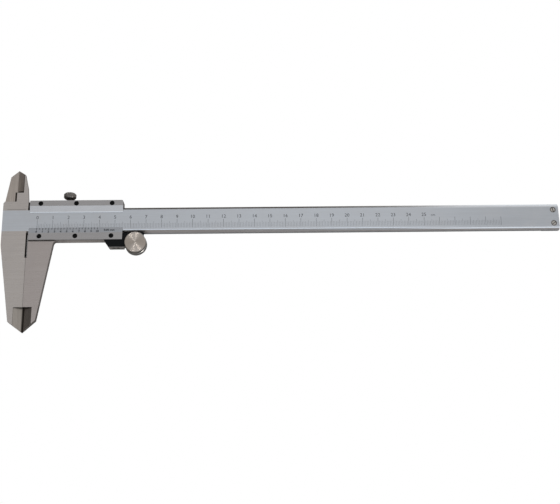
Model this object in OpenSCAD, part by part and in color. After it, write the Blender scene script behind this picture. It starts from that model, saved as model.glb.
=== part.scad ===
// Vernier caliper, 0 to 250 mm: a graduated beam with fixed jaws, and a slider
// with moving jaws, clamp screw, thumb roller and depth rod, shown closed.
// Millimetres. +X along the beam away from the jaws, +Y towards the inside jaws,
// +Z towards the scale. X = 0 is the face where the long jaws meet, Y = 0 the
// beam's lower edge, and Z = 0 the flat back that the caliper rests on.

/* [Beam] */
// Distance from the jaw face to the far end of the beam
beam_end = 344; // [344:1:420]
// Height of the beam across its two guide edges
beam_h = 17.4; // [17:0.1:17.6]
// Thickness of the beam
beam_t = 3.95; // [3.8:0.05:4.2]
// Width of the chamfer along the front edges of the beam
beam_chamfer = 1.6; // [1:0.1:2]

/* [Long jaws] */
// Depth of the long jaws below the beam's lower edge
jaw_reach = 64.6; // [55:0.1:75]
// Width of the fixed long jaw at the corner above its point
jaw_tip_w = 8.9; // [8:0.1:10]
// Width of the fixed head behind the jaw face
head_w = 16.5; // [15:0.1:18]
// Width that the moving jaw would have at the slider's lower edge
jaw_root_w = 17.2; // [16.6:0.1:18]
// Depth of the clearance slot at the root of the jaw faces
relief_depth = 16.1; // [12:0.1:20]
// Half the width of the clearance slot
relief_half = 0.5; // [0.3:0.1:0.8]
// Height of the thinned knife edges above the jaw points
knife_h = 15.9; // [12:0.1:18]

/* [Inside jaws] */
// X of the two crossing edges that measure a bore
inside_edge_x = -8.1; // [-9:0.1:-8]
// Height of the inside jaws' points above the beam's lower edge
inside_top = 43.8; // [42:0.1:48]
// Height of the ledge under the knife bevels
ledge_y = 28.1; // [27:0.1:30]

/* [Slider] */
// Length of the slider along the beam
slider_len = 60.2; // [60:0.1:62]
// Height of the rail above and below the beam
rail_h = 4.9; // [4.8:0.1:5.2]
// Thickness of the wall behind the beam
wall_t = 1.55; // [1.5:0.05:1.8]
// Thickness of the two front plates
plate_t = 1.5; // [1.4:0.1:1.8]
// Running gap between the slider and the beam
slide_gap = 0.05; // [0.03:0.01:0.08]

/* [Clamp screw] */
// Radius of the screw's thread
lock_r = 1.5; // [1.4:0.1:1.6]
// Radius of the knurled head
lock_head_r = 4; // [3.5:0.1:4.2]
// Feed of the screw in one turn
lock_pitch = 0.5; // [0.4:0.05:0.5]

/* [Thumb roller] */
// Radius of the roller's wheel
roller_r = 7; // [6.6:0.1:7.2]
// Distance of the roller's axle from the jaw face
roller_x = 69.6; // [69.6:0.1:71]
// Radius of the roller's axle
axle_r = 1.5; // [1.3:0.1:1.6]

/* [Depth rod] */
// Width of the depth rod
rod_w = 2.4; // [2:0.1:2.6]
// Depth of the groove in the beam's back
groove_depth = 1.45; // [1.4:0.05:1.6]

/* [Hidden] */
$fn = 64;
eps = 0.01;          // contact gap between faces that meet
over = 1;            // how far a cutting tool runs past a face
fit_gap = 0.03;      // radial gap of a screw in its hole

// Levels in Z, from the rest plane to the scale
z_beam = wall_t + slide_gap;
z_face = z_beam + beam_t;
z_plate = z_face + slide_gap;
z_top = z_plate + plate_t;
z_half = z_beam + beam_t / 2;
half_gap = 0.02;     // half the gap between the crossing inside jaws
fin_edge_t = 0.35;   // thickness left at an inside jaw's measuring edge

// Long jaws
point_flat = 0.15;   // flat at each jaw's point
tip_rise = 6.6;      // height of the outer corner above the point
moving_tip_trim = 0.55; // how much narrower the moving jaw is at that corner
moving_tip_lift = 0.8; // and how much higher its corner is
heel_y = -7.6;       // where the fixed jaw's outer edge starts to lean
head_gap = 0.35;     // gap between the head and the slider, above the beam
knife_x = 5.8;       // width of the thinned knife edge on one jaw
knife_step = 0.4;    // step at the knife edge's outer side
knife_z = z_beam + 0.5;
knife_run = 0.6;     // how far the knife edge's cut runs past the jaw face
fillet_r = 3;        // fillet between the moving jaw and the slider

// Inside jaws
cap_x = -15.7;       // left end of the head's cap
cap_y0 = 20.7;
cap_y1 = 21.9;
fixed_bevel_x = -3.65;
moving_bevel_x = -12.6;
slot_x0 = -9.6;      // slot between the moving fin and the slider's arm
slot_x1 = -7.7;
slot_y = 22.2;
slot_web = 1.3;      // metal left behind the slot
link_y1 = 26.6;      // top of the arm that carries the moving fin

// Slider outline
upper_rail_drop = 0.4;
slider_x0 = 0.95;
slider_x1 = slider_x0 + slider_len;
slider_y0 = -rail_h;
slider_y1 = beam_h + rail_h - upper_rail_drop;
corner_r = 1;
rail_end = 1.5;      // rail left uncut at each end of the gib's pocket
gib_t = 0.55;
gib_y = beam_h + slide_gap;
pocket_y = gib_y + gib_t + slide_gap;
gib_side_gap = 0.2;

// Plate screws, three along each plate
plate_screw_x = [8, 30.95, 54];
upper_screw_y = 19.8;
lower_screw_y = -2.4;
m2_r = 0.8;
m2_head_r = 1.5;
m2_head_h = 0.95;
m2_length = 3;
head_sink = 0.05;    // depth of a sunk head below the face around it
head_gap_r = 0.05;   // radial gap around a sunk head
shank_gap_r = 0.1;   // radial gap around a shank in a plate
slot_w = 0.4;
slot_depth = 0.4;

// Front plates
plate_x0 = slider_x0 + 0.05;
upper_bevel_y = 18.2;
upper_edge_y = 13.9;
vernier_edge_y = 3.65;
vernier_bevel_y = -0.2;
plate_edge_t = 0.2;

// Clamp screw, its pad, and the gib's set screws
lock_x = 26;
pad_h = 0.95;
pad_y = pocket_y + lock_pitch;
pad_gap_r = 0.05;
lock_tip_y = pad_y + pad_h + eps;
lock_head_y = 24.1;
lock_head_h = 3.5;
lock_bevel = 0.7;
gib_screw_x = [12, 46];
gib_screw_r = 1;
gib_screw_sink = 0.4;

// Thumb roller and its bracket
roller_y = -roller_r - slide_gap;
wheel_z0 = 0.2;
wheel_z1 = 4.35;
arm_z0 = 4.6;
arm_z1 = 6;
disc_z0 = 6.25;
disc_z1 = 8.2;
disc_r = roller_r - 0.2;
disc_skin = 0.7;     // thickness of the disc in front of the axle
rim_chamfer = 0.35;
axle_gap = 0.06;
bracket_z0 = 0.6;
bracket_z1 = 6.2;
bracket_mid = (bracket_z0 + bracket_z1) / 2;
bracket_x0 = 49.3;   // top end of the bracket's slanted side
bracket_x1 = 52.8;   // bottom end of the bracket's slanted side
bracket_x2 = 62.2;
bracket_y0 = -9.9;
bracket_screw_x = [55.9, 58.5];
bracket_screw_r = 0.7;
bracket_screw_h = 5.2;
bracket_thread_h = 1.6;
bracket_head_r = 1.1;
bracket_head_h = 1;
bracket_head_y = bracket_y0 + bracket_head_h + 0.15;
arm_y1 = -0.4;       // top of the bracket's arm, just below the beam
arm_x1 = roller_x + 5.3;
arm_round = 3.8;
spring_t = 0.3;
spring_travel = 0.25;
spring_y = roller_y - axle_r - spring_travel - spring_t;
spring_x0 = roller_x - 6.4;
spring_x1 = roller_x + 2.4;
spring_gap = 0.15;

// Depth rod, its screws and the stop plate
rod_y = beam_h / 2;
rod_x0 = 44;
rod_foot_x = 58;
rod_t = 1.27;
rod_gap = 0.1;
rod_top = z_beam + groove_depth - rod_gap;
rod_nib = 0.7;       // corner cut off the rod's measuring end
groove_x0 = 38;
groove_w = rod_w + 0.3;
rod_screw_x = [48, 54];
rod_head_h = 0.7;
rod_head_z = 0.8;    // level that the sunk heads stop at
stop_len = 11;
stop_screw_y = [4.1, 13.2];
stop_margin = 0.4;
stop_screw_x = beam_end - 3.6;
stop_screw_z = 0.2;  // lower end of the stop's screws
stop_head_r = 1.65;
stop_head_h = 0.95;
stop_head_sink = 0.1;

// A flat shape in X and Y, given thickness between two levels
module slab(z0, z1) {
    translate([0, 0, z0]) linear_extrude(z1 - z0) children();
}

// A section in Y and Z, run along X between two places
module run(x0, x1) {
    translate([x0, 0, 0]) rotate([90, 0, 90]) linear_extrude(x1 - x0) children();
}

// A round bar along Y
module y_bar(x, y0, y1, z, r) {
    translate([x, y0, z]) rotate([-90, 0, 0]) cylinder(h = y1 - y0, r = r);
}

// A round bar along Z
module z_bar(x, y, z0, z1, r) {
    translate([x, y, z0]) cylinder(h = z1 - z0, r = r);
}

// Tool that cuts the thinned knife edge of one long jaw; side is -1 or 1
module knife_cut(side) {
    translate([0, -jaw_reach + knife_h, 0]) rotate([90, 0, 0])
        linear_extrude(jaw_reach)
            polygon([
                [-side * knife_run, knife_z], [side * knife_x, z_plate - knife_step],
                [side * knife_x, z_plate + over], [-side * knife_run, z_plate + over]
            ]);
}

// Outline of the fixed head and long jaw, below the beam's upper edge
module fixed_jaw_outline() {
    polygon([
        [-head_w, beam_h], [-head_w, heel_y], [-jaw_tip_w, -jaw_reach + tip_rise],
        [-point_flat, -jaw_reach], [0, -jaw_reach + point_flat], [0, -relief_depth],
        [-relief_half, -relief_depth], [-relief_half, 0], [-head_gap, beam_h]
    ]);
}

// Outline of the head's cap and the fixed inside jaw, in the front half
module fixed_inside_outline() {
    polygon([
        [-head_w, beam_h - over], [-head_w, cap_y0], [cap_x, cap_y1],
        [inside_edge_x, cap_y1], [inside_edge_x, inside_top],
        [-3.2, 40.3], [-1.0, 30.7], [-0.2, cap_y1], [-head_gap, beam_h - over]
    ]);
}

// Outline of the moving inside jaw and its arm, in the back half
module moving_inside_outline() {
    polygon([
        [-16.3, gib_y], [-16, slot_y], [-13.1, 39.6], [inside_edge_x, inside_top],
        [inside_edge_x, ledge_y + 0.4], [slot_x1, link_y1], [-2.4, link_y1],
        [-1.4, slider_y1],
        [slider_x0 + over, slider_y1], [slider_x0 + over, gib_y]
    ]);
}

module main_beam() {
    section = [
        [0, z_beam], [beam_h, z_beam], [beam_h, z_face - beam_chamfer],
        [beam_h - beam_chamfer, z_face], [beam_chamfer, z_face],
        [0, z_face - beam_chamfer]
    ];
    color([0.68, 0.69, 0.70]) difference() {
        union() {
            run(-over, beam_end) polygon(section);
            slab(z_beam, z_face) fixed_jaw_outline();
            slab(z_half + half_gap, z_face) fixed_inside_outline();
        }
        knife_cut(-1);
        // bevel of the fixed inside jaw
        translate([0, inside_top + over, 0]) rotate([90, 0, 0])
            linear_extrude(inside_top + over - ledge_y)
                polygon([
                    [fixed_bevel_x, z_face], [inside_edge_x, z_half + fin_edge_t],
                    [inside_edge_x - over, z_half], [inside_edge_x - over, z_face + over],
                    [fixed_bevel_x, z_face + over]
                ]);
        // groove for the depth rod
        translate([groove_x0, rod_y - groove_w / 2, z_beam - over])
            cube([beam_end, groove_w, groove_depth + over]);
        for (y = stop_screw_y) {
            z_bar(stop_screw_x, y, z_beam - over, z_face + over, m2_r + fit_gap);
            z_bar(stop_screw_x, y, z_face - stop_head_h, z_face + over,
                  stop_head_r + fit_gap);
        }
    }
}

module end_stop_plate() {
    color([0.60, 0.60, 0.61]) difference() {
        translate([beam_end - stop_len, stop_margin, 0])
            cube([stop_len, beam_h - 2 * stop_margin, z_beam]);
        for (y = stop_screw_y)
            z_bar(stop_screw_x, y, -over, z_beam + over, m2_r + fit_gap);
    }
}

// A slotted screw along Z with its head upwards
module slotted_screw(head_r, head_h, shank_r, shank_h) {
    difference() {
        union() {
            cylinder(h = head_h, r = head_r);
            translate([0, 0, -shank_h]) cylinder(h = shank_h + eps, r = shank_r);
        }
        translate([-head_r - over, -slot_w / 2, head_h - slot_depth])
            cube([2 * (head_r + over), slot_w, slot_depth + over]);
    }
}

module end_stop_screws() {
    head_z = z_face - stop_head_h;
    color([0.55, 0.53, 0.50]) for (i = [0, 1])
        translate([stop_screw_x, stop_screw_y[i], head_z])
            rotate([0, 0, 35 + 70 * i])
                slotted_screw(stop_head_r, stop_head_h - stop_head_sink, m2_r,
                              head_z - stop_screw_z);
}

// Long moving jaw, with the fillet between it and the slider
module moving_jaw() {
    tip = [jaw_tip_w - moving_tip_trim, -jaw_reach + tip_rise + moving_tip_lift];
    root = [jaw_root_w, slider_y0];
    lean = atan((root[0] - tip[0]) / (root[1] - tip[1]));
    // centre of the fillet, tangent to the jaw's edge and to the rail
    cy = slider_y0 - fillet_r;
    cx = root[0] - fillet_r * tan(lean) + fillet_r / cos(lean);
    slab(z_beam, z_plate) polygon([
        [relief_half, 0], [relief_half, -relief_depth], [eps, -relief_depth],
        [eps, -jaw_reach + point_flat], [eps + point_flat, -jaw_reach], tip, root,
        [jaw_root_w, 0]
    ]);
    difference() {
        slab(z_beam, z_plate) polygon([
            [root[0] - 1, slider_y0 + over], [cx, slider_y0 + over], [cx, slider_y0],
            [cx, cy], [cx - fillet_r * cos(lean), cy + fillet_r * sin(lean)],
            [root[0] - 2, cy]
        ]);
        z_bar(cx, cy, z_beam - over, z_plate + over, fillet_r);
    }
}

// Tool that rounds the slider's upper right corner
module corner_cut() {
    difference() {
        translate([slider_x1 - corner_r, slider_y1 - corner_r, -over])
            cube([corner_r + over, corner_r + over, z_top + 2 * over]);
        z_bar(slider_x1 - corner_r, slider_y1 - corner_r, -2 * over,
              z_top + 3 * over, corner_r);
    }
}

module slider_frame() {
    section = [
        [slider_y0, 0], [slider_y1, 0], [slider_y1, z_plate], [gib_y, z_plate],
        [gib_y, wall_t], [-slide_gap, wall_t], [-slide_gap, z_plate],
        [slider_y0, z_plate]
    ];
    color([0.62, 0.61, 0.60]) difference() {
        union() {
            run(slider_x0, slider_x1) polygon(section);
            moving_jaw();
            slab(z_beam, z_half - half_gap) moving_inside_outline();
        }
        knife_cut(1);
        corner_cut();
        // slot between the moving fin and its arm
        slab(z_beam + slot_web, z_half + over) polygon([
            [slot_x0, slot_y], [slot_x1, slot_y], [slot_x1, link_y1 + over],
            [inside_edge_x + over, ledge_y], [slot_x0, ledge_y]
        ]);
        // bevel of the moving inside jaw, on its back
        translate([0, inside_top + over, 0]) rotate([90, 0, 0])
            linear_extrude(inside_top + over - ledge_y)
                polygon([
                    [moving_bevel_x, z_beam], [inside_edge_x, z_half - fin_edge_t],
                    [inside_edge_x + over, z_half], [inside_edge_x + over, z_beam - over],
                    [moving_bevel_x, z_beam - over]
                ]);
        // pocket for the gib
        translate([slider_x0 + rail_end, beam_h - over, z_beam])
            cube([slider_len - 2 * rail_end, pocket_y - beam_h + over, z_plate]);
        // holes for the clamp screw, its pad and the gib's set screws
        y_bar(lock_x, beam_h, slider_y1 + over, z_half, lock_r + fit_gap);
        y_bar(lock_x, beam_h, lock_tip_y + 0.2, z_half, lock_r + 0.1);
        for (x = gib_screw_x)
            y_bar(x, beam_h, slider_y1 + over, z_half, gib_screw_r + fit_gap);
        for (x = plate_screw_x, y = [upper_screw_y, lower_screw_y])
            z_bar(x, y, z_plate - m2_length, z_plate + over, m2_r + fit_gap);
        for (x = bracket_screw_x)
            y_bar(x, slider_y0 - over, slider_y0 + bracket_thread_h, bracket_mid,
                  bracket_screw_r + fit_gap);
        for (x = rod_screw_x) {
            z_bar(x, rod_y, -over, wall_t + over, m2_r + fit_gap);
            z_bar(x, rod_y, -over, rod_head_z, m2_head_r + fit_gap);
        }
    }
}

// Holes for the heads and shanks of one plate's three screws
module plate_holes(y) {
    for (x = plate_screw_x) {
        z_bar(x, y, z_plate - over, z_top + over, m2_r + shank_gap_r);
        z_bar(x, y, z_top - m2_head_h - head_sink, z_top + over,
              m2_head_r + head_gap_r);
    }
}

module upper_front_plate() {
    color([0.76, 0.80, 0.84]) difference() {
        run(plate_x0, slider_x1) polygon([
            [upper_edge_y, z_plate], [slider_y1, z_plate], [slider_y1, z_top],
            [upper_bevel_y, z_top], [upper_edge_y, z_plate + plate_edge_t]
        ]);
        corner_cut();
        plate_holes(upper_screw_y);
    }
}

module vernier_plate() {
    color([0.66, 0.67, 0.69]) difference() {
        run(plate_x0, slider_x1) polygon([
            [slider_y0, z_plate], [vernier_edge_y, z_plate],
            [vernier_edge_y, z_plate + plate_edge_t], [vernier_bevel_y, z_top],
            [slider_y0, z_top]
        ]);
        plate_holes(lower_screw_y);
    }
}

// Three plate screws, each with its slot turned a little further
module plate_screws(y, turn) {
    for (i = [0:2])
        translate([plate_screw_x[i], y, z_top - m2_head_h - head_sink])
            rotate([0, 0, turn + 47 * i])
                slotted_screw(m2_head_r, m2_head_h, m2_r, m2_length + 0.4);
}

module upper_plate_screws() {
    color([0.06, 0.06, 0.06]) plate_screws(upper_screw_y, 20);
}

module vernier_plate_screws() {
    color([0.06, 0.06, 0.06]) plate_screws(lower_screw_y, 65);
}

module gib_strip() {
    color([0.72, 0.58, 0.30])
        translate([slider_x0 + rail_end + gib_side_gap, gib_y, z_beam + gib_side_gap])
            cube([slider_len - 2 * (rail_end + gib_side_gap), gib_t,
                  beam_t - 2 * gib_side_gap]);
}

module gib_screws() {
    top = slider_y1 - gib_screw_sink;
    tip = gib_y + gib_t + eps;
    color([0.10, 0.10, 0.10]) for (x = gib_screw_x) difference() {
        y_bar(x, tip, top, z_half, gib_screw_r);
        translate([x - over - gib_screw_r, top - slot_depth, z_half - slot_w / 2])
            cube([2 * (gib_screw_r + over), slot_depth + over, slot_w]);
    }
}

module depth_rod() {
    color([0.70, 0.70, 0.69]) difference() {
        union() {
            slab(rod_top - rod_t, rod_top) polygon([
                [rod_x0, rod_y - rod_w / 2], [beam_end - 2, rod_y - rod_w / 2],
                [beam_end, rod_y - rod_w / 2 + rod_nib], [beam_end, rod_y + rod_w / 2],
                [rod_x0, rod_y + rod_w / 2]
            ]);
            // foot that stands on the slider's back wall
            translate([rod_x0, rod_y - rod_w / 2, wall_t])
                cube([rod_foot_x - rod_x0, rod_w, rod_top - wall_t]);
        }
        for (x = rod_screw_x)
            z_bar(x, rod_y, wall_t - over, rod_top - 0.2, m2_r + fit_gap);
    }
}

module depth_rod_screws() {
    color([0.45, 0.45, 0.45]) for (i = [0, 1])
        translate([rod_screw_x[i], rod_y, rod_head_z]) rotate([180, 0, 60 * i])
            slotted_screw(m2_head_r, rod_head_h, m2_r, rod_top - rod_head_z - 0.3);
}

module roller_bracket() {
    slot_margin = 0.05;
    color([0.07, 0.07, 0.08]) difference() {
        union() {
            // block under the slider
            slab(bracket_z0, bracket_z1) polygon([
                [bracket_x0, slider_y0 - eps], [bracket_x1, bracket_y0],
                [bracket_x2, bracket_y0], [bracket_x2, slider_y0 - eps]
            ]);
            // upright beside the slider's end
            slab(z_beam, bracket_z1) polygon([
                [slider_x1 + eps, bracket_y0], [bracket_x2, bracket_y0],
                [bracket_x2, arm_y1], [slider_x1 + eps, arm_y1]
            ]);
            // arm between the roller's wheel and its face disc
            slab(arm_z0, arm_z1) polygon([
                [slider_x1 + eps, arm_y1], [arm_x1, arm_y1],
                [arm_x1, -1.2], [roller_x + 3.6, roller_y - 1.2],
                [roller_x, roller_y - arm_round], [roller_x - 3, roller_y - arm_round],
                [bracket_x2 - 0.5, bracket_y0]
            ]);
            z_bar(roller_x, roller_y, arm_z0, arm_z1, arm_round);
        }
        // upright hole for the axle, long enough for the spring's travel
        for (drop = [0, spring_travel])
            z_bar(roller_x, roller_y - drop, 0, z_top, axle_r + axle_gap);
        translate([roller_x - axle_r - axle_gap, roller_y - spring_travel, 0])
            cube([2 * (axle_r + axle_gap), spring_travel, z_top]);
        // slot for the leaf spring
        translate([spring_x0 - 4 * slot_margin, spring_y - slot_margin, arm_z0 - over])
            cube([spring_x1 - spring_x0 + 8 * slot_margin, spring_t + 2 * slot_margin,
                  arm_z1 - arm_z0 + 2 * over]);
        for (x = bracket_screw_x) {
            y_bar(x, bracket_y0 - over, 0, bracket_mid, bracket_screw_r + shank_gap_r);
            y_bar(x, bracket_y0 - over, bracket_head_y + head_sink, bracket_mid,
                  bracket_head_r + head_gap_r);
        }
    }
}

module bracket_screws() {
    color([0.12, 0.12, 0.12]) for (i = [0, 1])
        translate([bracket_screw_x[i], bracket_head_y, bracket_mid])
            rotate([90, 0, 0]) rotate([0, 0, 30 + 80 * i])
                slotted_screw(bracket_head_r, bracket_head_h, bracket_screw_r,
                              bracket_screw_h);
}

module roller_leaf_spring() {
    color([0.50, 0.50, 0.52])
        translate([spring_x0, spring_y, arm_z0 + spring_gap])
            cube([spring_x1 - spring_x0, spring_t, arm_z1 - arm_z0 - 2 * spring_gap]);
}

// Wheel that rolls on the beam's lower edge, pressed onto the axle
module roller_wheel() {
    color([0.60, 0.58, 0.56]) translate([roller_x, roller_y, 0]) rotate_extrude()
        polygon([
            [axle_r, wheel_z0], [roller_r - rim_chamfer, wheel_z0],
            [roller_r, wheel_z0 + rim_chamfer], [roller_r, wheel_z1 - rim_chamfer],
            [roller_r - rim_chamfer, wheel_z1], [axle_r, wheel_z1]
        ]);
}

// Pin that turns in the bracket's arm and joins the wheel to the face disc
module roller_axle() {
    color([0.55, 0.55, 0.55])
        z_bar(roller_x, roller_y, wheel_z0 + 0.1, disc_z1 - disc_skin, axle_r);
}

// Disc pressed onto the axle's front end
module roller_face_disc() {
    color([0.66, 0.63, 0.60]) translate([roller_x, roller_y, 0]) rotate_extrude()
        polygon([
            [axle_r, disc_z0], [disc_r - rim_chamfer, disc_z0],
            [disc_r, disc_z0 + rim_chamfer], [disc_r, disc_z1 - rim_chamfer],
            [disc_r - rim_chamfer, disc_z1], [0, disc_z1],
            [0, disc_z1 - disc_skin], [axle_r, disc_z1 - disc_skin]
        ]);
}

module lock_pad() {
    color([0.75, 0.62, 0.32])
        y_bar(lock_x, pad_y, pad_y + pad_h, z_half, lock_r - pad_gap_r);
}

module lock_screw() {
    top = lock_head_y + lock_head_h;
    face_r = lock_head_r - lock_bevel;
    color([0.36, 0.34, 0.32]) translate([lock_x, 0, z_half]) rotate([-90, 0, 0])
        rotate_extrude() polygon([
            [0, lock_tip_y], [lock_r, lock_tip_y], [lock_r, lock_head_y],
            [face_r, lock_head_y], [lock_head_r, lock_head_y + lock_bevel],
            [lock_head_r, top - lock_bevel], [face_r, top], [0, top]
        ]);
}

main_beam();
end_stop_plate();
end_stop_screws();
slider_frame();
upper_front_plate();
upper_plate_screws();
vernier_plate();
vernier_plate_screws();
gib_strip();
gib_screws();
depth_rod();
depth_rod_screws();
roller_bracket();
bracket_screws();
roller_leaf_spring();
roller_wheel();
roller_axle();
roller_face_disc();
lock_pad();
lock_screw();
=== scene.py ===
"""Looks of a vernier caliper: finishes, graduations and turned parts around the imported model.

Lengths below are millimetres unless a name says otherwise, and turn into metres at the last step.
"""
import math

import bmesh
import bpy
from mathutils import Matrix, Vector


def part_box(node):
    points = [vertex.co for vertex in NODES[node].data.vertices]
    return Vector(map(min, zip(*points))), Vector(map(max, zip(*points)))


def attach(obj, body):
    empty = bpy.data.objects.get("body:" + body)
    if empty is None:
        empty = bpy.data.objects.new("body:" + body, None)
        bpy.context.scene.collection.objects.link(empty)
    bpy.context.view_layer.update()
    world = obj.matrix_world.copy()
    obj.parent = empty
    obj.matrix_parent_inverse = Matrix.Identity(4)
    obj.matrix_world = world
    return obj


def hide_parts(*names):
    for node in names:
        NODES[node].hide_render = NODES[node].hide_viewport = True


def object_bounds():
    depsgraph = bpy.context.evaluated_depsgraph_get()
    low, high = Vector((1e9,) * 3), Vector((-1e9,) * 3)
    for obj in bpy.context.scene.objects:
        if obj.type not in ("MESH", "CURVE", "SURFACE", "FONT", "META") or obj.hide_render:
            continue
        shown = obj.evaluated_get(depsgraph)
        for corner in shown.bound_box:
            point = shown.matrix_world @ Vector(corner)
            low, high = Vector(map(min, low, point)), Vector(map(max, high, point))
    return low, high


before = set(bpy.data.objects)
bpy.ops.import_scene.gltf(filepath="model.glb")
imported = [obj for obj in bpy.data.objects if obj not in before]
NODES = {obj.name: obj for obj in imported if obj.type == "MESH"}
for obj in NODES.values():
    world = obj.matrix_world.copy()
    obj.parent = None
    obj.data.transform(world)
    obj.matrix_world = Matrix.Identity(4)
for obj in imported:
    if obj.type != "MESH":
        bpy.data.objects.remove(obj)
CAD_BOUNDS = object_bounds()
MM = 0.001


def box_mm(node):
    """Lowest and highest corner of a CAD node, in millimetres."""
    low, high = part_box(node)
    return low / MM, high / MM


# Lowest and highest corners of the nodes that finishes and pieces are placed by
BEAM_LOW, BEAM_HIGH = box_mm("main_beam")
VERNIER_LOW, VERNIER_HIGH = box_mm("vernier_plate")
LOCK_LOW, LOCK_HIGH = box_mm("lock_screw")
WHEEL_LOW, WHEEL_HIGH = box_mm("roller_wheel")
DISC_LOW, DISC_HIGH = box_mm("roller_face_disc")
AXLE_LOW, AXLE_HIGH = box_mm("roller_axle")
END_SCREWS_LOW, END_SCREWS_HIGH = box_mm("end_stop_screws")
# Lower edge of the upper front plate's bevel, and radius of an end screw's head
TOE_Y = box_mm("upper_front_plate")[0].y
END_SCREW_R = (END_SCREWS_HIGH.x - END_SCREWS_LOW.x) / 2
# Level of the scale's face, and the beam's upper edge beyond the head
FACE_Z = BEAM_HIGH.z
BEAM_TOP_Y = 17.4

# ---------------------------------------------------------------- camera and light

# Place in millimetres, and turns in degrees in the order that they are made
CAMERA_PLACE = (151.745, -204.86, 617.059)
CAMERA_TURNS = (("X", 17.331), ("Y", -0.9404), ("Z", -0.522))
CAMERA_LENS = 64.2857
CAMERA_SENSOR = 36


def make_camera():
    """Camera above the scale, leaning towards the long jaws."""
    data = bpy.data.cameras.new("camera")
    data.lens = CAMERA_LENS
    data.sensor_width = CAMERA_SENSOR
    camera = bpy.data.objects.new("camera", data)
    matrix = Matrix.Translation(Vector(CAMERA_PLACE) * MM)
    for axis, degrees in CAMERA_TURNS:
        matrix = matrix @ Matrix.Rotation(math.radians(degrees), 4, axis)
    camera.matrix_world = matrix
    bpy.context.scene.collection.objects.link(camera)
    bpy.context.scene.camera = camera


class Graph:
    """A node tree with short ways to add and join nodes."""

    def __init__(self, tree):
        self.tree = tree
        tree.nodes.clear()

    def add(self, kind, **settings):
        """A new node of this kind, with these settings."""
        made = self.tree.nodes.new(kind)
        for name, value in settings.items():
            setattr(made, name, value)
        return made

    def feed(self, socket, value):
        """Sets a socket to a constant, or joins it to another node's output."""
        if isinstance(value, bpy.types.NodeSocket):
            self.tree.links.new(value, socket)
        else:
            socket.default_value = value

    def math(self, operation, *values, clamp=False):
        """Result of one arithmetic operation."""
        made = self.add("ShaderNodeMath", operation=operation, use_clamp=clamp)
        for socket, value in zip(made.inputs, values):
            self.feed(socket, value)
        return made.outputs[0]

    def ramp(self, value, low, high, out_low=0.0, out_high=1.0, smooth=True):
        """Maps low..high of value to out_low..out_high, held at both ends."""
        made = self.add("ShaderNodeMapRange")
        made.interpolation_type = "SMOOTHSTEP" if smooth else "LINEAR"
        inputs = (value, low, high, out_low, out_high)
        for name, part in zip(("Value", "From Min", "From Max", "To Min", "To Max"), inputs):
            self.feed(made.inputs[name], part)
        return made.outputs["Result"]

    def mix(self, factor, first, second):
        """Mixes two colours."""
        made = self.add("ShaderNodeMix", data_type="RGBA")
        self.feed(made.inputs[0], factor)
        for socket, value in zip(made.inputs[6:8], (first, second)):
            self.feed(socket, (*value, 1) if isinstance(value, tuple) else value)
        return made.outputs[2]

    def split(self, vector):
        """The X, Y and Z of a vector."""
        made = self.add("ShaderNodeSeparateXYZ")
        self.feed(made.inputs[0], vector)
        return made.outputs

    def noise(self, coords, scale, detail=3, stretch=(1, 1, 1)):
        """Noise from 0 to 1; scale is in repeats per metre and stretch multiplies it by axis."""
        mapping = self.add("ShaderNodeMapping")
        self.feed(mapping.inputs["Vector"], coords)
        mapping.inputs["Scale"].default_value = [scale * s for s in stretch]
        made = self.add("ShaderNodeTexNoise")
        self.feed(made.inputs["Vector"], mapping.outputs[0])
        made.inputs["Scale"].default_value = 1
        made.inputs["Detail"].default_value = detail
        return made.outputs[0]


# Studio surroundings along Y: sine of the angle from straight up (minus is the camera's side),
# then the light's colour there
SKY = (
    (-1.0, (0.26, 0.26, 0.26)),
    (-0.90, (0.36, 0.36, 0.37)),
    (-0.66, (1.00, 1.06, 1.12)),
    (-0.22, (1.08, 1.14, 1.20)),
    (-0.08, (0.80, 0.83, 0.86)),
    (0.12, (0.60, 0.595, 0.59)),
    (0.40, (0.56, 0.55, 0.54)),
    (0.72, (0.56, 0.60, 0.64)),
    (0.88, (0.53, 0.57, 0.61)),
    (1.0, (0.92, 0.94, 0.96)),
)
# Colours of the left side (and of the floor as reflections see it), of the right side, and of what
# shows behind the object
DIM = (0.16, 0.155, 0.15)
RIGHT_SIDE = (0.62, 0.61, 0.60)
BACKDROP = (0.94, 0.95, 0.96)


def make_world():
    """Soft studio surroundings: bright and cool on the camera's side, dim on the left."""
    world = bpy.data.worlds.new("studio")
    world.use_nodes = True
    bpy.context.scene.world = world
    graph = Graph(world.node_tree)
    x, y, _ = graph.split(graph.add("ShaderNodeTexCoord").outputs["Generated"])
    sky = graph.add("ShaderNodeValToRGB")
    stops = sky.color_ramp.elements
    while len(stops) < len(SKY):
        stops.new(1.0)
    for stop, (height, colour) in zip(stops, SKY):
        stop.position = (height + 1) / 2
        stop.color = (*colour, 1)
    graph.feed(sky.inputs[0], graph.ramp(y, -1, 1, smooth=False))
    colour = graph.mix(graph.ramp(x, -0.30, -0.62), sky.outputs[0], DIM)
    colour = graph.mix(graph.ramp(x, 0.45, 0.9), colour, RIGHT_SIDE)
    seen = graph.add("ShaderNodeLightPath").outputs["Is Camera Ray"]
    colour = graph.mix(seen, colour, BACKDROP)
    background = graph.add("ShaderNodeBackground")
    graph.feed(background.inputs["Color"], colour)
    output = graph.add("ShaderNodeOutputWorld")
    graph.tree.links.new(background.outputs[0], output.inputs[0])


def area_light(name, place, target, size, power, colour):
    """A square light; place, target and size are in metres, and power is in watts."""
    data = bpy.data.lights.new(name, "AREA")
    data.shape = "SQUARE"
    data.size = size
    data.energy = power
    data.color = colour
    light = bpy.data.objects.new(name, data)
    light.location = place
    light.rotation_euler = (Vector(target) - Vector(place)).to_track_quat("-Z", "Y").to_euler()
    bpy.context.scene.collection.objects.link(light)
    return light


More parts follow.
